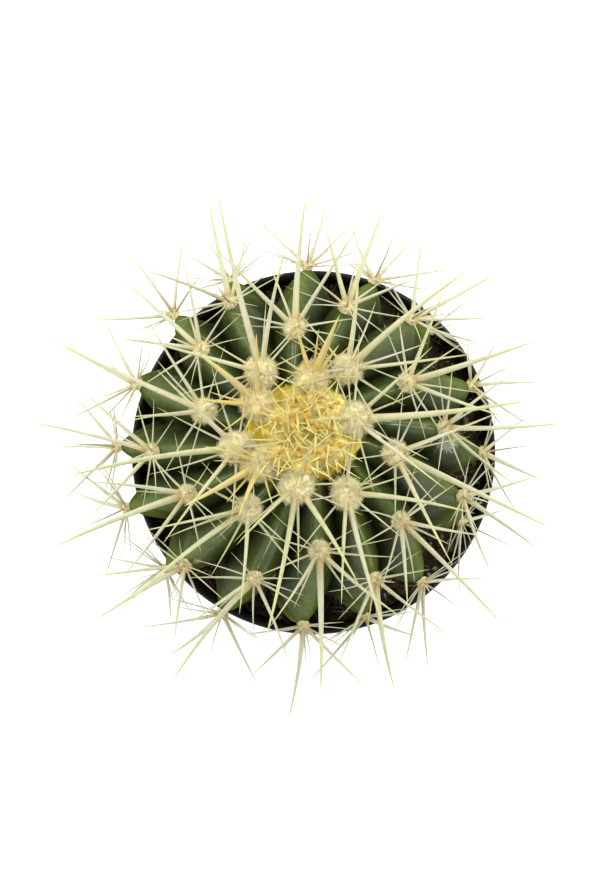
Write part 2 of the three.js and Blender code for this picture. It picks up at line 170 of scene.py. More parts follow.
def join_parts(parts):
    """Joins (points, faces, attributes) parts into one set of arrays."""
    points, faces, attributes = [], [], {}
    offset = 0
    for part_points, part_faces, part_attributes in parts:
        faces += [block + offset for block in part_faces]
        for label, values in part_attributes.items():
            attributes.setdefault(label, []).append(np.broadcast_to(values, len(part_points)))
        points.append(part_points)
        offset += len(part_points)
    joined = {label: np.concatenate(values) for label, values in attributes.items()}
    return np.concatenate(points), faces, joined


# -------- the stem's surface

def crest_direction(rib, polar):
    lap = np.floor_divide(rib, RIBS)
    swirl = RIB_SWIRL * (polar - 45) + CROWN_SWIRL * np.exp(-(polar / CROWN_SWIRL_SPREAD) ** 2)
    return RIB_CRESTS[rib - lap * RIBS] + 360 * lap + swirl


def list_areoles():
    """The areoles with clusters of their own, from the top down: (polar, rib, is_young, age)."""
    found = []
    for rib, (_, young, grown) in enumerate(RIB_LAYOUT):
        if young is not None and young > CROWN_POLAR:
            found.append((young, rib, True, 0.0))
        found += [(polar, rib, False, polar / OLDEST_POLAR) for polar in grown]
    return sorted(found)


AREOLES = list_areoles()
CROWN_AREOLES = [(young, rib) for rib, (_, young, _) in enumerate(RIB_LAYOUT)
                 if young is not None and young <= CROWN_POLAR]


def tubercle_swelling(position, polar):
    swelling = np.zeros(np.broadcast(position, polar).shape)
    for areole_polar, rib, _, _ in AREOLES:
        offset = np.abs(position - rib)
        offset = np.minimum(offset, RIBS - offset)
        down = (polar - areole_polar) / TUBERCLE_SPREAD
        swelling += TUBERCLE_HEIGHT * np.exp(-down * down - offset * offset * TUBERCLE_NARROWNESS)
    return swelling


def rib_valley(position):
    """How far down a rib's side a place is: 0 on the crest, 1 at the bottom of the furrow."""
    aside = 2 * np.abs(position - np.round(position))
    start = CREST_ROUNDNESS
    return (np.hypot(aside, start) - start) / (math.hypot(1, start) - start)


def stem_radius(position, polar):
    angle = np.radians(polar)
    height = np.where(polar < 90, STEM_UPPER_HEIGHT, STEM_LOWER_HEIGHT)
    smooth = 1 / np.hypot(np.sin(angle) / STEM_RADIUS, np.cos(angle) / height)
    depth = RIB_DEPTH * np.abs(np.sin(angle)) ** FURROW_FADE
    swelling = tubercle_swelling(position, polar) * np.sqrt(np.abs(np.sin(angle)))
    return smooth - depth * rib_valley(position) + swelling


def stem_point(position, polar):
    """Points of the stem's surface in its own upright frame."""
    position = np.asarray(position, float)
    polar = np.asarray(polar, float)
    rib = np.floor(position).astype(int)
    start = crest_direction(rib, polar)
    direction = np.radians(start + (position - rib) * (crest_direction(rib + 1, polar) - start))
    radius = stem_radius(position % RIBS, polar)
    outward = radius * np.abs(np.sin(np.radians(polar)))
    height = radius * np.cos(np.radians(polar))
    return np.stack([outward * np.cos(direction), outward * np.sin(direction), height], axis=-1)


LEAN_AXIS = Vector((-math.sin(STEM_LEAN_TOWARDS), math.cos(STEM_LEAN_TOWARDS), 0))
STEM_PLACE = Matrix.Translation(STEM_CENTRE) @ Matrix.Rotation(STEM_LEAN, 4, LEAN_AXIS)


def to_world(points):
    place = np.array(STEM_PLACE)
    return np.asarray(points) @ place[:3, :3].T + place[:3, 3]


# -------- materials

def new_material(name):
    material = bpy.data.materials.new(name)
    material.use_nodes = True
    nodes = material.node_tree.nodes
    links = material.node_tree.links
    return material, nodes, links, nodes["Principled BSDF"]


def node(nodes, kind, **values):
    made = nodes.new(kind)
    for key, value in values.items():
        if key in made.inputs:
            made.inputs[key].default_value = value
        else:
            setattr(made, key, value)
    return made


def noise(nodes, links, scale, detail=4.0, roughness=0.55, stretch=None):
    where = nodes.new("ShaderNodeTexCoord")
    texture = node(nodes, "ShaderNodeTexNoise", Scale=scale, Detail=detail, Roughness=roughness)
    if stretch is None:
        links.new(where.outputs["Object"], texture.inputs["Vector"])
    else:
        mapping = nodes.new("ShaderNodeMapping")
        mapping.inputs["Scale"].default_value = stretch
        links.new(where.outputs["Object"], mapping.inputs["Vector"])
        links.new(mapping.outputs["Vector"], texture.inputs["Vector"])
    return texture.outputs["Fac"]


def grey(level):
    return (level,) * 3


def ramp(nodes, links, source, stops):
    made = nodes.new("ShaderNodeValToRGB")
    elements = made.color_ramp.elements
    while len(elements) < len(stops):
        elements.new(0.5)
    for element, (place, color) in zip(elements, stops):
        element.position = place
        element.color = (*color, 1)
    links.new(source, made.inputs["Fac"])
    return made.outputs["Color"]


def attribute(nodes, label):
    return node(nodes, "ShaderNodeAttribute", attribute_name=label).outputs["Fac"]


def mix_color(nodes, links, factor, first, second, blend="MIX"):
    made = nodes.new("ShaderNodeMix")
    made.data_type = "RGBA"
    made.blend_type = blend
    for socket, value in ((made.inputs[0], factor), (made.inputs[6], first),
                          (made.inputs[7], second)):
        if isinstance(value, bpy.types.NodeSocket):
            links.new(value, socket)
        elif isinstance(value, (int, float)):
            socket.default_value = value
        else:
            socket.default_value = (*value, 1)
    return made.outputs[2]


def multiply(nodes, links, first, second):
    return mix_color(nodes, links, 1.0, first, second, "MULTIPLY")


def math_node(nodes, links, operation, first, second=0.0, third=0.0, clamp=False):
    made = node(nodes, "ShaderNodeMath", operation=operation, use_clamp=clamp)
    for socket, value in zip(made.inputs, (first, second, third)):
        if isinstance(value, bpy.types.NodeSocket):
            links.new(value, socket)
        else:
            socket.default_value = value
    return made.outputs[0]


def bump(nodes, links, shader, height, distance, strength=1.0, under=None):
    made = node(nodes, "ShaderNodeBump", Distance=distance, Strength=strength)
    links.new(height, made.inputs["Height"])
    if under is not None:
        links.new(under, made.inputs["Normal"])
    links.new(made.outputs["Normal"], shader.inputs["Normal"])
    return made.outputs["Normal"]


YOUNG_SKIN_LEVEL = 118 * MM      # deep green from here up, greyer down to the old level
OLD_SKIN_LEVEL = 85 * MM
BLOOM_COLOR = (0.096, 0.110, 0.050)
SCAR_COLOR = (0.30, 0.22, 0.12)
PORE_SCALE = 1400.0


def skin_age(nodes, links, where):
    """0 on the young top of the stem, 1 from the old level down."""
    height = nodes.new("ShaderNodeSeparateXYZ")
    links.new(where.outputs["Object"], height.inputs[0])
    depth = math_node(nodes, links, "SUBTRACT", YOUNG_SKIN_LEVEL, height.outputs["Z"])
    return math_node(nodes, links, "DIVIDE", depth, YOUNG_SKIN_LEVEL - OLD_SKIN_LEVEL, clamp=True)


def skin_color(nodes, links, crest, patches, fine, age):
    """Green, darkened to nearly black in the furrows by painted shade, with a grey bloom in patches
    on the older skin.
    """
    # Real green on the crest and grey-green down the flanks; the fall to nearly black at the furrow
    # floor is painted shade.
    base = ramp(nodes, links, crest, [
        (0.0, (0.005, 0.007, 0.002)), (0.22, (0.021, 0.027, 0.010)),
        (0.55, (0.047, 0.058, 0.020)), (0.78, (0.061, 0.086, 0.015)), (1.0, (0.098, 0.130, 0.024))])
    bloom = math_node(nodes, links, "SUBTRACT", patches, 0.50, clamp=True)
    bloom = math_node(nodes, links, "MULTIPLY", bloom, 2.0, clamp=True)
    bloom = math_node(nodes, links, "MULTIPLY", bloom, age)
    base = mix_color(nodes, links, bloom, base, BLOOM_COLOR)
    speckle = ramp(nodes, links, fine, [(0.35, (0.82, 0.86, 0.80)), (0.65, (1.12, 1.1, 1.08))])
    base = multiply(nodes, links, base, speckle)
    mottle = ramp(nodes, links, noise(nodes, links, 260, 5, 0.6), [
        (0.36, (0.80, 0.83, 0.80)), (0.64, (1.16, 1.14, 1.18))])
    base = multiply(nodes, links, base, mottle)
    ageing = ramp(nodes, links, age, [(0.0, (0.76, 0.82, 0.62)), (0.8, (1.06, 1.06, 1.04))])
    base = multiply(nodes, links, base, ageing)
    return mix_color(nodes, links, attribute(nodes, "scar"), base, SCAR_COLOR)


def skin_shine(nodes, links, shader, crest):
    """A waxy shine on skin that faces the eye, dull on the flanks and in the furrows."""
    facing = node(nodes, "ShaderNodeLayerWeight", Blend=0.5).outputs["Facing"]
    open_air = ramp(nodes, links, crest, [(0.05, grey(0.0)), (0.35, grey(1.0))])
    shine = ramp(nodes, links, facing, [
        (0.0, grey(0.42)), (0.32, grey(0.24)), (0.56, grey(0.04)), (0.72, grey(0.0))])
    shine = multiply(nodes, links, shine, open_air)
    links.new(shine, shader.inputs["Specular IOR Level"])
    wax = ramp(nodes, links, facing, [(0.30, grey(0.55)), (0.50, grey(0.0))])
    wax = multiply(nodes, links, wax, open_air)
    links.new(wax, shader.inputs["Coat Weight"])
    shader.inputs["Coat Roughness"].default_value = 0.16


def skin_material():
    """Waxy green skin: darker in the furrows from painted shade, a grey bloom in patches, fine
    pores.
    """
    material, nodes, links, shader = new_material("cactus_skin")
    crest = attribute(nodes, "crest")
    patches = noise(nodes, links, 90, 5)
    fine = noise(nodes, links, 900, 6)
    where = nodes.new("ShaderNodeTexCoord")
    age = skin_age(nodes, links, where)
    base = skin_color(nodes, links, crest, patches, fine, age)
    links.new(base, shader.inputs["Base Color"])
    gloss = ramp(nodes, links, patches, [(0.3, grey(0.26)), (0.7, grey(0.42))])
    links.new(gloss, shader.inputs["Roughness"])
    skin_shine(nodes, links, shader, crest)
    shader.inputs["Subsurface Weight"].default_value = 0.05
    shader.inputs["Subsurface Radius"].default_value = (0.4, 1.0, 0.2)
    shader.inputs["Subsurface Scale"].default_value = 0.002
    pores = node(nodes, "ShaderNodeTexVoronoi", Scale=PORE_SCALE)
    links.new(where.outputs["Object"], pores.inputs["Vector"])
    under = bump(nodes, links, shader, pores.outputs["Distance"], 0.00004, 0.5)
    bump(nodes, links, shader, fine, 0.00012, 0.5, under)
    return material


def wool_material(name, young, old):
    """Felted plant wool. The attribute tint runs from young (0) to old (1)."""
    material, nodes, links, shader = new_material(name)
    tint = attribute(nodes, "tint")
    shade = noise(nodes, links, 700, 5)
    base = mix_color(nodes, links, tint, young, old)
    variation = ramp(nodes, links, shade, [(0.3, (0.95, 0.92, 0.86)), (0.7, (1.03, 1.03, 1.02))])
    base = multiply(nodes, links, base, variation)
    links.new(base, shader.inputs["Base Color"])
    shader.inputs["Roughness"].default_value = 0.85
    shader.inputs["Specular IOR Level"].default_value = 0.2
    shader.inputs["Sheen Weight"].default_value = 0.5
    shader.inputs["Sheen Roughness"].default_value = 0.5
    shader.inputs["Sheen Tint"].default_value = (*young, 1)
    bump(nodes, links, shader, shade, 0.0002, 0.5)
    return material


def spine_material(name, root, neck, pale, deep, aged, tip):
    """Horny needles: an amber root, a paler neck, a shaft between pale and deep by its tone."""
    material, nodes, links, shader = new_material(name)
    along = attribute(nodes, "along")
    streak = noise(nodes, links, 500, 4)
    body = mix_color(nodes, links, attribute(nodes, "tone"), pale, deep)
    body = mix_color(nodes, links, attribute(nodes, "tint"), body, aged)
    foot = ramp(nodes, links, along, [(0.0, root), (0.10, neck)])
    point = ramp(nodes, links, along, [(0.50, grey(0.0)), (0.95, grey(0.65))])
    body = mix_color(nodes, links, point, body, tip)
    reach = ramp(nodes, links, along, [(0.03, grey(0.0)), (0.26, grey(1.0))])
    base = mix_color(nodes, links, reach, foot, body)
    variation = ramp(nodes, links, streak, [(0.3, (0.90, 0.88, 0.82)), (0.7, (1.06, 1.05, 1.04))])
    base = multiply(nodes, links, base, variation)
    links.new(base, shader.inputs["Base Color"])
    shader.inputs["Roughness"].default_value = 0.38
    shader.inputs["Specular IOR Level"].default_value = 0.35
    shader.inputs["Subsurface Weight"].default_value = 0.12
    shader.inputs["Subsurface Radius"].default_value = (1.0, 0.9, 0.5)
    shader.inputs["Subsurface Scale"].default_value = 0.0008
    rings = attribute(nodes, "rings")
    turns = math_node(nodes, links, "MULTIPLY", rings, 2 * math.pi)
    wave = math_node(nodes, links, "SINE", turns)
    bump(nodes, links, shader, wave, 0.00004, 0.7)
    return material


def plastic_material():
    """Thin black moulded plastic: satin, finely textured, with scuffs and dried splashes."""
    material, nodes, links, shader = new_material("pot_plastic")
    broad = noise(nodes, links, 60, 4)
    fine = noise(nodes, links, 2500, 3)
    scuffs = noise(nodes, links, 220, 8, 0.7, (1, 1, 0.15))
    base = ramp(nodes, links, scuffs, [
        (0.0, (0.006, 0.0055, 0.005)), (0.62, (0.009, 0.0085, 0.008)),
        (0.78, (0.04, 0.036, 0.030))])
    links.new(base, shader.inputs["Base Color"])
    gloss = ramp(nodes, links, broad, [(0.3, grey(0.30)), (0.7, grey(0.46))])
    links.new(gloss, shader.inputs["Roughness"])
    shader.inputs["Specular IOR Level"].default_value = 0.2
    bump(nodes, links, shader, fine, 0.00003, 0.5)
    return material


def soil_material(name, dark, light):
    material, nodes, links, shader = new_material(name)
    lumps = noise(nodes, links, 450, 8, 0.7)
    base = ramp(nodes, links, lumps, [(0.3, dark), (0.75, light)])
    links.new(base, shader.inputs["Base Color"])
    shader.inputs["Roughness"].default_value = 0.95
    shader.inputs["Specular IOR Level"].default_value = 0.15
    bump(nodes, links, shader, lumps, 0.0006, 0.9)
    return material


def floor_material():
    material, nodes, links, shader = new_material("pale_floor")
    shade = noise(nodes, links, 3, 2)
    base = ramp(nodes, links, shade, [(0.3, grey(0.93)), (0.7, grey(0.95))])
    links.new(base, shader.inputs["Base Color"])
    shader.inputs["Roughness"].default_value = 0.9
    shader.inputs["Emission Color"].default_value = (1, 1, 1, 1)
    shader.inputs["Emission Strength"].default_value = 0.3
    return material


SKIN = skin_material()
WOOL = wool_material("areole_wool", (1.0, 0.95, 0.65), (1.0, 0.88, 0.54))
YOUNG_WOOL = wool_material("young_wool", (1.0, 0.90, 0.54), (1.0, 0.94, 0.66))
SHED_WOOL = wool_material("shed_wool", (0.74, 0.71, 0.56), (0.82, 0.80, 0.68))
CROWN_WOOL = wool_material("crown_wool", (1.0, 0.79, 0.09), (1.0, 0.90, 0.44))
SPINE = spine_material(
    "spine_horn", root=(0.46, 0.33, 0.14), neck=(0.51, 0.44, 0.22), pale=(0.54, 0.53, 0.38),
    deep=(0.49, 0.48, 0.23), aged=(0.53, 0.54, 0.40), tip=(0.50, 0.54, 0.16))
YOUNG_SPINE = spine_material(
    "young_spine_horn", root=(0.55, 0.23, 0.01), neck=(0.60, 0.38, 0.04),
    pale=(0.57, 0.49, 0.22), deep=(0.56, 0.44, 0.12), aged=(0.80, 0.72, 0.26),
    tip=(0.66, 0.62, 0.16))
PLASTIC = plastic_material()
PEAT = soil_material("peat", (0.020, 0.015, 0.008), (0.095, 0.070, 0.038))
BARK = soil_material("bark", (0.045, 0.031, 0.017), (0.30, 0.22, 0.12))
PEAT_FIBRE = soil_material("peat_fibre", (0.16, 0.11, 0.05), (0.42, 0.33, 0.18))
GRIT = soil_material("grit", (0.20, 0.18, 0.14), (0.55, 0.52, 0.46))


# -------- the stem

STEM_COLUMNS_PER_RIB = 24
STEM_RINGS = 240
SKIN_WAVES = 14
SKIN_WAVE_NUMBER = 260           # about how many radians each wave turns in a metre
SKIN_WAVE_HEIGHT = 0.035 * MM
SCARS = 26
SCAR_RINGS = (40, 170)           # the rings of the mesh between which the scars lie
SCAR_SIZES_MM = (0.3, 0.8)
SCAR_HEIGHT = 0.12 * MM


def skin_ripples(surface, dice):
    """Slight unevenness of the skin: a sum of sine waves in random directions."""
    ripples = np.zeros(surface.shape[:2])
    for _ in range(SKIN_WAVES):
        wave = dice.normal(size=3) * SKIN_WAVE_NUMBER
        phase = dice.uniform(0, 2 * np.pi)
        ripples += np.sin(surface @ wave + phase)
    return ripples * SKIN_WAVE_HEIGHT


def add_scars(surface, out, dice):
    """Raises small corky scars on the skin; gives the new surface and how scarred each point is."""
    rings, columns = surface.shape[:2]
    scar = np.zeros((rings, columns))
    for _ in range(SCARS):
        spot = surface[dice.integers(*SCAR_RINGS), dice.integers(0, columns)]
        size = dice.uniform(*SCAR_SIZES_MM) * MM
        away = np.linalg.norm((surface - spot) * np.array([1, 1, 0.7]), axis=-1)
        mark = np.clip(1.4 - away / size, 0, 1)
        scar = np.maximum(scar, mark)
        surface = surface + out * (mark * SCAR_HEIGHT)[..., None]
    return surface, scar


def make_stem():
    columns = RIBS * STEM_COLUMNS_PER_RIB
    position = np.arange(columns) / STEM_COLUMNS_PER_RIB
    polar = np.linspace(0, 180, STEM_RINGS + 1)[1:-1]
    grid_position, grid_polar = np.meshgrid(position, polar)
    surface = stem_point(grid_position, grid_polar)
    out = unit(surface)
    dice = np.random.default_rng(5)
    surface = surface + out * skin_ripples(surface, dice)[..., None]
    surface, scar = add_scars(surface, out, dice)
    crest = 1 - rib_valley(grid_position)
    poles = stem_point(np.zeros(2), np.array([0.0, 180.0]))
    points = np.concatenate([surface.reshape(-1, 3), poles])
    index = np.arange(surface.shape[0] * columns).reshape(-1, columns)
    top = len(points) - 2
    cap = np.stack([np.full(columns, top), index[0], np.roll(index[0], -1)], axis=-1)
    foot = np.stack([np.full(columns, top + 1), np.roll(index[-1], -1), index[-1]], axis=-1)
    faces = [grid_quads(index), cap, foot]
    attributes = {
        "crest": np.append(crest.ravel(), [1, 1]),
        "scar": np.append(scar.ravel(), [0, 0]),
    }
    stem = build_object("stem_skin", to_world(points), faces, attributes, [SKIN])
    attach(stem, "root")
    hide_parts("stem")


# -------- areoles: wool and spines

SLOPE_SPAN = 6                   # degrees either way, over which the slope at an areole is taken
MERGE_STEP = 0.01 * MM           # corners of the CAD mesh closer than this are one corner
SHORTEST_SPINE = 4.5 * MM        # anything nearer the areole's heart is its wool pad


def areole_frame(rib, polar):
    """An areole's place and its own directions, in the stem's upright frame."""
    here = stem_point(rib, polar)
    down = unit(stem_point(rib, polar + SLOPE_SPAN) - stem_point(rib, polar - SLOPE_SPAN))
    across = unit(np.cross([0, 0, 1], here))
    out = unit(np.cross(down, across))
    return here, out, down, np.cross(out, down)


def cad_points(name):
    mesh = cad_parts[name].data
    points = np.zeros(len(mesh.vertices) * 3)
    mesh.vertices.foreach_get("co", points)
    points = points.reshape(-1, 3)
    edges = np.zeros(len(mesh.edges) * 2, int)
    mesh.edges.foreach_get("vertices", edges)
    return points, edges.reshape(-1, 2)


def read_spines(name, heart):
    """The tips and root radii of a CAD cluster's spines: its corners furthest from its heart."""
    points, edges = cad_points(name)
    keys = np.round(points / MERGE_STEP).astype(np.int64)
    _, first, merged = np.unique(keys, axis=0, return_index=True, return_inverse=True)
    merged = merged.ravel()
    place = points[first]
    edges = merged[edges]
    edges = edges[edges[:, 0] != edges[:, 1]]
    reach = np.linalg.norm(place - heart, axis=1)
    highest = np.ones(len(place), bool)
    lower = np.where(reach[edges[:, 0]] < reach[edges[:, 1]], edges[:, 0], edges[:, 1])
    highest[lower] = False
    spines = []
    for tip in np.flatnonzero(highest & (reach > SHORTEST_SPINE)):
        touching = edges[(edges == tip).any(axis=1)]
        others = np.where(touching[:, 0] == tip, touching[:, 1], touching[:, 0])
        axis = unit(heart - place[tip])
        legs = unit(place[others] - place[tip])
        slope = np.sqrt(np.maximum(1 - (legs @ axis) ** 2, 0)).max()
        spines.append((place[tip], reach[tip] * slope))
    return spines


SPINE_STEPS = 14
SPINE_SIDES = 9
SPINE_FLATNESS = 0.75            # a spine's thickness over its width
INNER_SLIMNESS = 0.7             # of the spines on the side towards the crown
RING_STEP = 0.55 * MM            # between the faint rings round a spine
THICK_SPINE = 1.0 * MM           # root radii of a stout and a slender spine
THIN_SPINE = 0.5 * MM
THICK_FULLNESS = 1.0             # their widths here over the CAD spines'
THIN_FULLNESS = 0.85
SPINE_TAPER = 0.75               # below 1, a spine stays thick for longer
SPINE_FOOT_SWELLING = 0.2
SPINE_TIP_SHARE = 0.03           # of the root's radius left at the tip


def spine_shape(heart, spines, start_share, dice, bend, droop):
    """Curved, tapered needles from the heart of an areole to the given tips."""
    tips = np.array([tip for tip, _ in spines])
    roots = np.array([radius for _, radius in spines])
    t = np.linspace(0, 1, SPINE_STEPS) ** 0.9
    span = tips - heart
    length = np.linalg.norm(span, axis=1)
    sideways = unit(np.cross(span, dice.normal(size=span.shape)))
    sideways = unit(sideways + np.array([0, 0, droop]))
    sag = bend * length * dice.uniform(0.2, 1.0, len(spines))
    start = heart + span * start_share
    paths = start[:, None, :] + (tips - start)[:, None, :] * t[None, :, None]
    paths += sideways[:, None, :] * (sag[:, None] * 4 * t * (1 - t))[..., None]
    taper = (1 - t) ** SPINE_TAPER * (1 + SPINE_FOOT_SWELLING * np.exp(-t / 0.05)) + SPINE_TIP_SHARE
    fullness = np.interp(roots, [THIN_SPINE, THICK_SPINE], [THIN_FULLNESS, THICK_FULLNESS])
    radii = (roots * fullness)[:, None] * taper[None, :]
    points, faces = tubes(paths, radii, SPINE_SIDES, SPINE_FLATNESS, int(dice.integers(1 << 30)))
    ones = np.ones((len(spines), 1, SPINE_SIDES))
    along = (ones * t[None, :, None]).ravel()
    rings = (ones * (t[None, :, None] * length[:, None, None] / RING_STEP)).ravel()
    tone = dice.uniform(0, 1, len(spines))[:, None, None] * np.ones((1, SPINE_STEPS, SPINE_SIDES))
    return points, faces, {"along": along, "rings": rings, "tone": tone.ravel()}


PAD_LENGTHENING = 1.08           # down the rib, against across it
WOOL_POLARS = [16, 40, 98]       # the loose wool over the CAD pad's radius at these polar angles
WOOL_PLUMPNESS = [1.25, 1.05, 0.95]
PAD_FLATNESS = 0.75              # a pad's height over its width
PAD_HAIRS = 800                  # for each millimetre of the pad's radius
PAD_HAIR_LENGTH = 0.42           # over the pad's radius
PAD_HAIR_RADIUS = 0.045 * MM

CORE_SHARE = 0.86                # the felted core's radius over the pad's
CORE_RINGS = 12
CORE_COLUMNS = 22
CORE_REACH = 0.72                # of the way from the core's top to its bottom
CORE_LUMPINESS = 0.10
HAIR_ROOT_SHARE = 0.84           # the hairs start at this share of the pad's radius
HAIR_STEPS = 5
HAIR_SIDES = 3
HAIR_BEND = 0.8                  # how far a hair may bend or wave, over its length
HAIR_WAVE = 0.35


def felt_core(heart, basis, stretch, radius, dice):
    """The felted inside of a wool pad: a lumpy, flattened ball."""
    rise = np.linspace(0.02, np.pi * CORE_REACH, CORE_RINGS)
    turn = np.arange(CORE_COLUMNS) * 2 * np.pi / CORE_COLUMNS
    grid_rise, grid_turn = np.meshgrid(rise, turn, indexing="ij")
    lumps = 1 + CORE_LUMPINESS * dice.normal(size=grid_rise.shape)
    local = ball_points(grid_rise, grid_turn) * stretch * (radius * CORE_SHARE * lumps)[..., None]
    index = np.arange(grid_rise.size).reshape(grid_rise.shape)
    faces = [grid_quads(index), index[:1], index[-1:, ::-1]]
    return (local @ basis + heart).reshape(-1, 3), faces


def loose_hairs(heart, basis, stretch, radius, hairs, hair_length, hair_width, dice):
    """Curly hairs all over the upper half of a wool pad."""
    height = dice.uniform(0.0, 1.0, hairs)
    spin = dice.uniform(0, 2 * np.pi, hairs)
    wide = np.sqrt(1 - height ** 2)
    normal = np.stack([wide * np.cos(spin), wide * np.sin(spin), height], axis=-1)
    root = normal * stretch * radius * HAIR_ROOT_SHARE
    lean = unit(normal + 1.0 * dice.normal(size=normal.shape))
    t = np.linspace(0, 1, HAIR_STEPS)
    length = hair_length * dice.uniform(0.45, 1.0, hairs)
    curl = unit(np.cross(lean, dice.normal(size=lean.shape)))
    twist = unit(np.cross(lean, curl))
    bend = dice.uniform(-HAIR_BEND, HAIR_BEND, (hairs, 1))
    wave = dice.uniform(-HAIR_WAVE, HAIR_WAVE, (hairs, 1))
    paths = root[:, None, :] + lean[:, None, :] * (length[:, None] * t)[..., None]
    paths += curl[:, None, :] * (length[:, None] * bend * t ** 2)[..., None]
    paths += twist[:, None, :] * (length[:, None] * wave * np.sin(t * 5))[..., None]
    radii = hair_width * dice.uniform(0.6, 1.2, (hairs, 1)) * (1 - 0.75 * t)[None, :]
    return tubes(paths @ basis + heart, radii, HAIR_SIDES, 1.0, int(dice.integers(1 << 30)))


def wool_shape(heart, axes, radius, flat, hairs, hair_length, hair_width, dice):
    """A felted pad and its loose hairs. axes are the pad's down, across and out directions."""
    basis = np.stack(axes)
    stretch = np.array([PAD_LENGTHENING, 1 / PAD_LENGTHENING, flat])
    core = felt_core(heart, basis, stretch, radius, dice)
    hair = loose_hairs(heart, basis, stretch, radius, hairs, hair_length, hair_width, dice)
    return core, hair


def pad_radius(polar):
    return float(np.interp(polar, PAD_POLARS, PAD_RADII)) * MM


SPINE_START = 0.02               # share of the way from an areole's heart to a spine's tip
SPINE_BEND = 0.03                # how far a spine bows, over its length
SPINE_DROOP = -0.3               # how much of that is downwards


def make_needles(number, heart, down, age, material, dice):
    """The spines of one areole, to the tips of its CAD cluster."""
    name = f"spine_cluster_{number:02d}"
    spines = [(tip, radius * (INNER_SLIMNESS if (tip - heart) @ down < 0 else 1))
              for tip, radius in read_spines(name, heart)]
    points, faces, values = spine_shape(heart, spines, SPINE_START, dice, SPINE_BEND, SPINE_DROOP)
    values["tint"] = np.full(len(points), age)
    needles = build_object(f"spines_{number:02d}", points, faces, values, [material])
    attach(needles, "root")
    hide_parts(name)


def make_areoles():
    turn = np.array(STEM_PLACE)[:3, :3]
    for number, (polar, rib, is_young, age) in enumerate(AREOLES, 1):
        here, out, down, across = areole_frame(rib, polar)
        heart = to_world(here + out * (PAD_LIFT * pad_radius(polar) + PAD_GAP))
        axes = [axis @ turn.T for axis in (down, across, out)]
        dice = np.random.default_rng(100 + number)
        make_needles(number, heart, axes[0], age, YOUNG_SPINE if is_young else SPINE, dice)
        plumpness = np.interp(polar, WOOL_POLARS, WOOL_PLUMPNESS)
        radius = pad_radius(polar) * plumpness * dice.uniform(0.95, 1.05)
        middle = to_world(here + out * (PAD_LIFT * radius))
        core, hair = wool_shape(middle, axes, radius, PAD_FLATNESS, int(PAD_HAIRS * radius / MM),
                                radius * PAD_HAIR_LENGTH, PAD_HAIR_RADIUS, dice)
        points, faces, values = join_parts([(*core, {"tint": age}), (*hair, {"tint": age})])
        wool = build_object(f"areole_wool_{number:02d}", points, faces, values,
                            [YOUNG_WOOL if is_young else WOOL])
        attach(wool, "root")


# -------- the crown

CROWN_FELT_RADIUS = 12.6 * MM
CROWN_FELT_DROP = 2.0 * MM       # the felt's middle lies this far below the stem's top
CROWN_FELT_FLATNESS = 0.36
CROWN_FELT_HAIRS = 19000
CROWN_HAIR_LENGTH = 1.7 * MM
CROWN_HAIR_RADIUS = 0.07 * MM

CROWN_BUDS = 34
GOLDEN_ANGLE = 137.5             # degrees from each bud to the next
BUD_SPREAD = 1.15                # the outermost bud's polar angle, over the crown's
BUD_LIFT = 1.2 * MM
BUD_BRISTLES = {"count": 7, "leans": (15, 80), "lengths": (2.0 * MM, 5.0 * MM),
                "radii": (0.20 * MM, 0.34 * MM)}

BUDDING_POLAR = (4, 12)          # the innermost and outermost areole still to open
BUDDING_STRIDE = 7               # mixes up their polar angles from rib to rib
TUFT_LIFT = 1.9 * MM
TUFT_RADII_MM = (2.1, 3.7)       # at the top and at the crown's edge
TUFT_FLATNESS = 0.75
TUFT_HAIRS = 1500
TUFT_HAIR_LENGTH = 1.2 * MM
TUFT_HAIR_RADIUS = 0.05 * MM
TUFT_BRISTLES = {"count": 7, "leans": (35, 75), "lengths": (5 * MM, 11 * MM),
                 "radii": (0.3 * MM, 0.5 * MM)}
TUFT_STUBS = {"count": 2, "leans": (10, 32), "lengths": (3.4 * MM, 4.6 * MM),
              "radii": (1.15 * MM, 1.45 * MM)}


def budding_areoles():
    """The opened young areoles inside the crown, and one bud on each rib that has none."""
    low, high = BUDDING_POLAR
    found = list(CROWN_AREOLES)
    for rib in set(range(RIBS)) - {rib for _, rib in CROWN_AREOLES}:
        found.append((low + (high - low) * (rib * BUDDING_STRIDE % RIBS) / RIBS, rib))
    return found


def bristles(heart, axes, bend, dice, count, leans, lengths, radii):
    """Needles round an areole, of a random lean, length and root radius within the ranges."""
    down, across, out = axes
    spines = []
    for k in range(count):
        way = 2 * math.pi * (k + dice.uniform(-0.35, 0.35)) / count
        lean = math.radians(dice.uniform(*leans))
        side = down * math.cos(way) + across * math.sin(way)
        direction = out * math.cos(lean) + side * math.sin(lean)
        spines.append((heart + direction * dice.uniform(*lengths), dice.uniform(*radii)))
    return spine_shape(heart, spines, 0.0, dice, bend, 0)


def crown_bud(number, dice):
    """One bud of fine bristles, on a golden-angle spiral round the top."""
    polar = CROWN_POLAR * BUD_SPREAD * math.sqrt((number + 0.5) / CROWN_BUDS)
    rib = number * GOLDEN_ANGLE / 360 * RIBS % RIBS
    here, out, down, across = areole_frame(rib, polar)
    heart = here + out * BUD_LIFT
    points, faces, values = bristles(heart, (down, across, out), 0.08, dice, **BUD_BRISTLES)
    values["along"] = 0.3 + 0.7 * values["along"]
    return points, faces, {**values, "tint": 0.9}


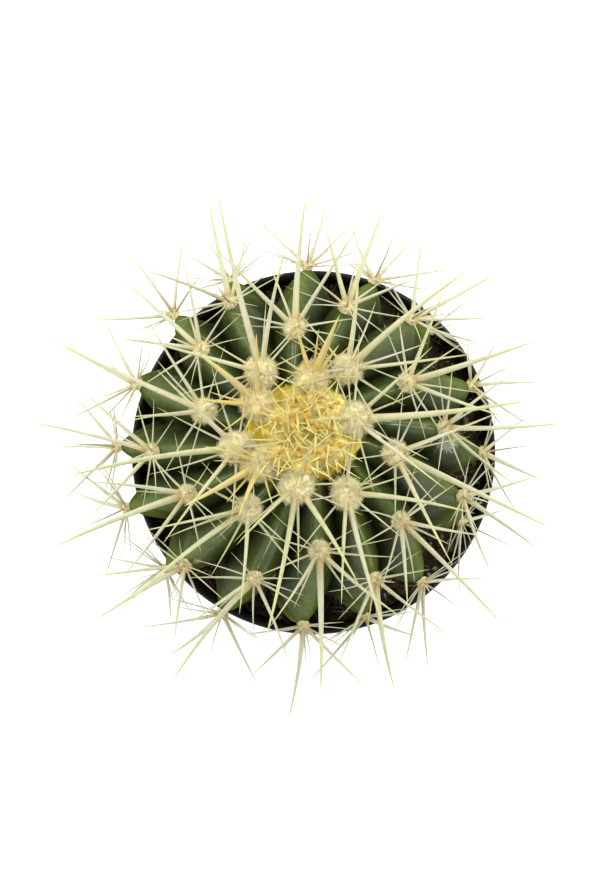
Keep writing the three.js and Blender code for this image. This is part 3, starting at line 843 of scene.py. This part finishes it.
def crown_areole(polar, rib, dice):
    """One opening areole: the parts of its cream tuft, and those of its bristles and stubs."""
    here, out, down, across = areole_frame(rib, polar)
    axes = (down, across, out)
    inner, outer = TUFT_RADII_MM
    radius = (inner + (outer - inner) * polar / CROWN_POLAR) * MM
    heart = here + out * TUFT_LIFT
    core, hair = wool_shape(heart, axes, radius, TUFT_FLATNESS, TUFT_HAIRS,
                            TUFT_HAIR_LENGTH, TUFT_HAIR_RADIUS, dice)
    wool = [(*core, {"tint": 0.8}), (*hair, {"tint": 0.9})]
    points, faces, values = bristles(heart, axes, 0.05, dice, **TUFT_BRISTLES)
    needles = [(points, faces, {**values, "tint": 0.9})]
    points, faces, values = bristles(heart, axes, 0.0, dice, **TUFT_STUBS)
    values["along"] = values["along"] * 0.10
    needles.append((points, faces, {**values, "tint": 0.0}))
    return wool, needles


def make_crown():
    """The woolly middle: a golden felt, buds of fine bristles, and cream tufts with amber stubs."""
    dice = np.random.default_rng(21)
    top = np.array([0, 0, STEM_UPPER_HEIGHT - CROWN_FELT_DROP])
    core, hair = wool_shape(top, np.eye(3), CROWN_FELT_RADIUS, CROWN_FELT_FLATNESS,
                            CROWN_FELT_HAIRS, CROWN_HAIR_LENGTH, CROWN_HAIR_RADIUS, dice)
    wool_parts = [(*core, {"tint": 0.0}), (*hair, {"tint": 0.1})]
    spine_parts = [crown_bud(number, dice) for number in range(CROWN_BUDS)]
    for polar, rib in budding_areoles():
        tuft, needles = crown_areole(polar, rib, dice)
        wool_parts += tuft
        spine_parts += needles
    points, faces, attributes = join_parts(wool_parts)
    wool = build_object("crown_tuft", to_world(points), faces, attributes, [CROWN_WOOL])
    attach(wool, "root")
    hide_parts("crown_wool")
    points, faces, attributes = join_parts(spine_parts)
    needles = build_object("crown_spines", to_world(points), faces, attributes, [YOUNG_SPINE])
    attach(needles, "root")


FLUFF_RIB = 15.86                # position round the ribs, and degrees from the top
FLUFF_POLAR = 57
FLUFF_LIFT = 0.3 * MM
FLUFF_RADIUS = 1.5 * MM
FLUFF_FLATNESS = 0.35
FLUFF_HAIRS = 800
FLUFF_HAIR_LENGTH = 2.8 * MM


def make_fluff():
    """A wisp of shed white wool caught on the side of a rib."""
    here, out, down, across = areole_frame(FLUFF_RIB, FLUFF_POLAR)
    dice = np.random.default_rng(31)
    core, hair = wool_shape(here + out * FLUFF_LIFT, (down, across, out), FLUFF_RADIUS,
                            FLUFF_FLATNESS, FLUFF_HAIRS, FLUFF_HAIR_LENGTH, PAD_HAIR_RADIUS, dice)
    points, faces, attributes = join_parts(
        [(*core, {"tint": 0.0}), (*hair, {"tint": 1.0})])
    fluff = build_object("shed_wool_wisp", to_world(points), faces, attributes, [SHED_WOOL])
    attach(fluff, "root")


# -------- the soil

SOIL_UNEVENNESS = 0.9 * MM
SOIL_RADIUS = 40.3 * MM
SOIL_EDGE = [(40.35 * MM, 60 * MM), (38.0 * MM, 58 * MM), (28.4 * MM, 2.0 * MM)]
SOIL_RINGS = 90
SOIL_SEGMENTS = 180
SOIL_WAVES = 30
SOIL_WAVE_NUMBER = 1500          # about how many radians each wave turns in a metre
SOIL_WAVE_HEIGHT = 0.10 * MM
SOIL_PHASES = 6.28
SCATTER_RADII = (22 * MM, 40 * MM)
LUMP_RISES = np.array([0.35, 0.8, 1.3, 1.85, 2.35, 2.8])
LUMP_SIDES = 7
LUMP_ROUGHNESS = 0.22
CRUMBS = 2600
BARK_CRUMBS = 260
BARK_LIFT = 0.4 * MM
GRIT_GRAINS = 220
GRIT_LIFT = 0.5 * MM
FIBRES = 420
FIBRE_LIFT = 0.7 * MM


def soil_height(x, y):
    lumps = np.sin(x * 410 + 1) * np.cos(y * 370) + 0.6 * np.sin(x * 900 - y * 700)
    return SOIL_TOP + SOIL_UNEVENNESS * lumps


def make_ground(dice):
    """The block of soil: an uneven top, a bevel at its edge and sides down to the pot's floor."""
    edge_radii = np.array([radius for radius, _ in SOIL_EDGE])
    rings = np.linspace(0.5 * MM, SOIL_RADIUS, SOIL_RINGS)
    turn = np.arange(SOIL_SEGMENTS) * 2 * np.pi / SOIL_SEGMENTS
    grid_radius, grid_turn = np.meshgrid(np.concatenate([rings, edge_radii]), turn, indexing="ij")
    x, y = grid_radius * np.cos(grid_turn), grid_radius * np.sin(grid_turn)
    z = soil_height(x, y)
    for _ in range(SOIL_WAVES):
        wave = dice.normal(size=2) * SOIL_WAVE_NUMBER
        z += SOIL_WAVE_HEIGHT * np.sin(x * wave[0] + y * wave[1] + dice.uniform(0, SOIL_PHASES))
    z[SOIL_RINGS:] = np.array([height for _, height in SOIL_EDGE])[:, None]
    index = np.arange(x.size).reshape(x.shape)
    faces = [grid_quads(index), index[:1], index[-1:, ::-1]]
    soil = build_object("peat_fill", np.stack([x, y, z], axis=-1).reshape(-1, 3), faces, {}, [PEAT])
    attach(soil, "root")
    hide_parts("potting_soil")


def lump_shape(centres, sizes, dice):
    """Small irregular lumps, each a squashed and jittered seven-sided ball."""
    turn = np.arange(LUMP_SIDES) * 2 * np.pi / LUMP_SIDES
    grid_rise, grid_turn = np.meshgrid(LUMP_RISES, turn, indexing="ij")
    ball = ball_points(grid_rise, grid_turn)
    count = len(centres)
    jitter = 1 + LUMP_ROUGHNESS * dice.normal(size=(count, *grid_rise.shape))
    squash = dice.uniform(0.5, 1.25, (count, 1, 1, 3))
    points = ball[None] * jitter[..., None] * squash * sizes[:, None, None, None]
    points = points + centres[:, None, None, :]
    index = np.arange(points[..., 0].size).reshape(points.shape[:3])
    quads = np.stack([index[:, :-1], index[:, 1:], np.roll(index[:, 1:], -1, 2),
                      np.roll(index[:, :-1], -1, 2)], axis=-1).reshape(-1, 4)
    return points.reshape(-1, 3), [quads, index[:, 0, :], index[:, -1, ::-1]]


def scatter(count, lift, dice):
    """Random places on the soil round the stem, raised by lift."""
    low, high = SCATTER_RADII
    radius = np.sqrt(dice.uniform(low ** 2, high ** 2, count))
    turn = dice.uniform(0, 2 * np.pi, count)
    x, y = radius * np.cos(turn), radius * np.sin(turn)
    return np.stack([x, y, soil_height(x, y) + lift], axis=-1)


def make_lumps(name, centres, sizes, material, dice):
    lumps = build_object(name, *lump_shape(centres, sizes, dice), {}, [material])
    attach(lumps, "root")


def make_fibres(dice):
    """Pale curved fibres lying on the soil."""
    start = scatter(FIBRES, FIBRE_LIFT, dice)
    way = unit(dice.normal(size=(FIBRES, 3)) * np.array([1, 1, 0.18]))
    bend = unit(np.cross(way, dice.normal(size=(FIBRES, 3))))
    t = np.linspace(-1, 1, 9)
    reach = dice.uniform(0.8, 3.2, (FIBRES, 1)) * MM
    paths = start[:, None] + way[:, None] * (reach * t)[..., None]
    paths += bend[:, None] * (reach * dice.uniform(-0.4, 0.4, (FIBRES, 1)) * t ** 2)[..., None]
    widths = dice.uniform(0.07, 0.20, (FIBRES, 1)) * MM * (1 - 0.6 * t ** 2)
    fibres = build_object("peat_fibres", *tubes(paths, widths, 5, 0.7, 3), {}, [PEAT_FIBRE])
    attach(fibres, "root")


def make_soil():
    dice = np.random.default_rng(8)
    make_ground(dice)
    make_lumps("peat_crumbs", scatter(CRUMBS, 0, dice),
               dice.lognormal(-0.7, 0.45, CRUMBS) * MM, PEAT, dice)
    make_lumps("bark_crumbs", scatter(BARK_CRUMBS, BARK_LIFT, dice),
               dice.lognormal(-0.55, 0.4, BARK_CRUMBS) * MM, BARK, dice)
    make_lumps("grit_grains", scatter(GRIT_GRAINS, GRIT_LIFT, dice),
               dice.uniform(0.2, 0.5, GRIT_GRAINS) * MM, GRIT, dice)
    make_fibres(dice)


# -------- the pot

POT_SEGMENTS = 192
POT_BASE = 30 * MM
POT_FLOOR = 1.6 * MM
WALL = 1.2 * MM
BAND_HEIGHT = 11 * MM
BAND_STEP = 1.6 * MM
RIM_BEAD = 0.6 * MM              # how far the bead stands out, and its levels below the rim
BEAD_TOP = 0.4 * MM
BEAD_LOW = 1.3 * MM
BEAD_ROOT = 1.8 * MM
RIM_SLOPE = 0.45 * MM            # the rim's top falls this far towards the inside
FOOT_WIDTH = 2.5 * MM
FOOT_RECESS = 0.5 * MM
FOOT_BEVEL = 1 * MM
HUB = 0.2 * MM                   # the innermost ring of the underside and the floor
CORNER_RADIUS = 0.6 * MM
SHARP_EDGE = math.radians(40)
FLOOR_RINGS = [radius * MM for radius in (4, 8, 12, 16, 19, 21, 23, 26)]
DRAIN_HOLES = 8
DRAIN_HOLE_RADIUS = 3 * MM
DRAIN_CIRCLE = 21 * MM


def rounded(profile, radius, steps=4):
    """The profile with each corner between its two ends turned into a short curve."""
    points = [np.array(profile[0])]
    for before, here, after in zip(profile, profile[1:], profile[2:]):
        before, here, after = map(np.array, (before, here, after))
        back, on = before - here, after - here
        cut = min(radius, 0.4 * np.linalg.norm(back), 0.4 * np.linalg.norm(on))
        start = here + back / np.linalg.norm(back) * cut
        end = here + on / np.linalg.norm(on) * cut
        for t in np.linspace(0, 1, steps):
            points.append((1 - t) ** 2 * start + 2 * t * (1 - t) * here + t * t * end)
    points.append(np.array(profile[-1]))
    return np.array(points)


def pot_profile():
    """Radius and height round the wall: underside, outside, rim, then inside to the floor."""
    band = POT_RADIUS - RIM_BEAD
    body = band - BAND_STEP
    band_low = POT_HEIGHT - BAND_HEIGHT
    under = [(ring, FOOT_RECESS) for ring in FLOOR_RINGS]
    floor = [(ring, POT_FLOOR) for ring in reversed(FLOOR_RINGS)]
    return [
        (HUB, FOOT_RECESS), *under, (POT_BASE - FOOT_WIDTH, FOOT_RECESS), (POT_BASE - FOOT_WIDTH, 0),
        (POT_BASE - FOOT_BEVEL, 0), (POT_BASE, FOOT_BEVEL), (body, band_low),
        (band, band_low + BAND_STEP), (band, POT_HEIGHT - BEAD_ROOT),
        (POT_RADIUS, POT_HEIGHT - BEAD_LOW), (POT_RADIUS, POT_HEIGHT - BEAD_TOP),
        (band, POT_HEIGHT), (band - WALL, POT_HEIGHT - RIM_SLOPE),
        (band - WALL, band_low + BAND_STEP), (body - WALL, band_low),
        (POT_BASE - WALL, POT_FLOOR), *floor, (HUB, POT_FLOOR)]


def drill(piece, centres, radius, depth):
    """Cuts upright round holes right through a piece."""
    cutter_mesh = bmesh.new()
    for x, y in centres:
        bmesh.ops.create_cone(cutter_mesh, cap_ends=True, segments=32, radius1=radius,
                              radius2=radius, depth=depth, matrix=Matrix.Translation((x, y, 0)))
    mesh = bpy.data.meshes.new("drill")
    cutter_mesh.to_mesh(mesh)
    cutter_mesh.free()
    cutter = bpy.data.objects.new("drill", mesh)
    bpy.context.scene.collection.objects.link(cutter)
    modifier = piece.modifiers.new("holes", "BOOLEAN")
    modifier.operation = "DIFFERENCE"
    modifier.object = cutter
    bpy.context.view_layer.update()
    whole = piece.data
    graph = bpy.context.evaluated_depsgraph_get()
    piece.data = bpy.data.meshes.new_from_object(piece.evaluated_get(graph))
    piece.modifiers.clear()
    bpy.data.objects.remove(cutter)
    bpy.data.meshes.remove(mesh)
    bpy.data.meshes.remove(whole)
    piece.data.set_sharp_from_angle(angle=SHARP_EDGE)


def make_pot():
    outline = rounded(pot_profile(), CORNER_RADIUS)
    turn = np.arange(POT_SEGMENTS) * 2 * np.pi / POT_SEGMENTS
    points = np.stack([outline[:, None, 0] * np.cos(turn), outline[:, None, 0] * np.sin(turn),
                       np.repeat(outline[:, None, 1], POT_SEGMENTS, 1)], axis=-1)
    index = np.arange(points[..., 0].size).reshape(points.shape[:2])
    quads = np.stack([index[:-1], np.roll(index[:-1], -1, 1), np.roll(index[1:], -1, 1),
                      index[1:]], axis=-1).reshape(-1, 4)
    pot = build_object("nursery_pot_shell", points.reshape(-1, 3),
                       [quads, index[:1, ::-1], index[-1:]], {}, [PLASTIC])
    around = (np.arange(DRAIN_HOLES) + 0.5) * 2 * np.pi / DRAIN_HOLES
    drill(pot, zip(DRAIN_CIRCLE * np.cos(around), DRAIN_CIRCLE * np.sin(around)),
          DRAIN_HOLE_RADIUS, 4 * POT_FLOOR)
    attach(pot, "root")
    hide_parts("nursery_pot")


# -------- camera, light and floor

CAMERA_ABOVE_RIM = 0.8
CAMERA_OFFSET = (-4.1 * MM, 2.0 * MM)
VIEW_HEIGHT_AT_RIM = 207.4 * MM
SENSOR_MM = 36

WORLD_STRENGTH = 0.50
FLOOR_HALF_WIDTH = 1.5
LIGHT_TARGET = Vector((0, 0, 0.08))
KEY_LIGHT = {"place": (0.28, 0.31, 0.78), "size": 0.36, "power": 3.9}
FILL_LIGHT = {"place": (-0.55, 0.30, 0.62), "size": 0.40, "power": 3.0}
SIDE_LIGHT_AZIMUTHS = (40, 130, 215, 320)
SIDE_LIGHT_DISTANCE = 0.55
SIDE_LIGHT_HEIGHT = 0.30
SIDE_LIGHT_SIZE = 0.13
SIDE_LIGHT_POWER = 0.85


def make_camera():
    data = bpy.data.cameras.new("camera")
    data.sensor_width = SENSOR_MM
    data.lens = SENSOR_MM * CAMERA_ABOVE_RIM / VIEW_HEIGHT_AT_RIM
    camera = bpy.data.objects.new("camera", data)
    camera.location = (*CAMERA_OFFSET, POT_HEIGHT + CAMERA_ABOVE_RIM)
    bpy.context.scene.collection.objects.link(camera)
    bpy.context.scene.camera = camera


def area_light(name, place, size, power):
    data = bpy.data.lights.new(name, "AREA")
    data.shape = "DISK"
    data.size = size
    data.energy = power
    lamp = bpy.data.objects.new(name, data)
    lamp.location = place
    aim = LIGHT_TARGET - Vector(place)
    lamp.rotation_mode = "QUATERNION"
    lamp.rotation_quaternion = aim.to_track_quat("-Z", "Y")
    bpy.context.scene.collection.objects.link(lamp)


def make_floor():
    half = FLOOR_HALF_WIDTH
    corners = np.array([[-half, -half, 0], [half, -half, 0], [half, half, 0], [-half, half, 0]])
    floor = build_object("floor", corners, [np.array([[0, 1, 2, 3]])], {}, [floor_material()])


def make_lights():
    world = bpy.data.worlds.new("studio")
    bpy.context.scene.world = world
    world.use_nodes = True
    background = world.node_tree.nodes["Background"]
    background.inputs["Color"].default_value = (1, 1, 1, 1)
    background.inputs["Strength"].default_value = WORLD_STRENGTH
    area_light("key", **KEY_LIGHT)
    area_light("fill", **FILL_LIGHT)
    for number, azimuth in enumerate(SIDE_LIGHT_AZIMUTHS, 1):
        turn = math.radians(azimuth)
        place = (SIDE_LIGHT_DISTANCE * math.cos(turn), SIDE_LIGHT_DISTANCE * math.sin(turn),
                 SIDE_LIGHT_HEIGHT)
        area_light(f"side_{number}", place, SIDE_LIGHT_SIZE, SIDE_LIGHT_POWER)
    bpy.context.scene.view_settings.view_transform = "Standard"


make_camera()
make_floor()
make_lights()
make_pot()
make_soil()
make_stem()
make_areoles()
make_crown()
make_fluff()

bpy.context.view_layer.update()
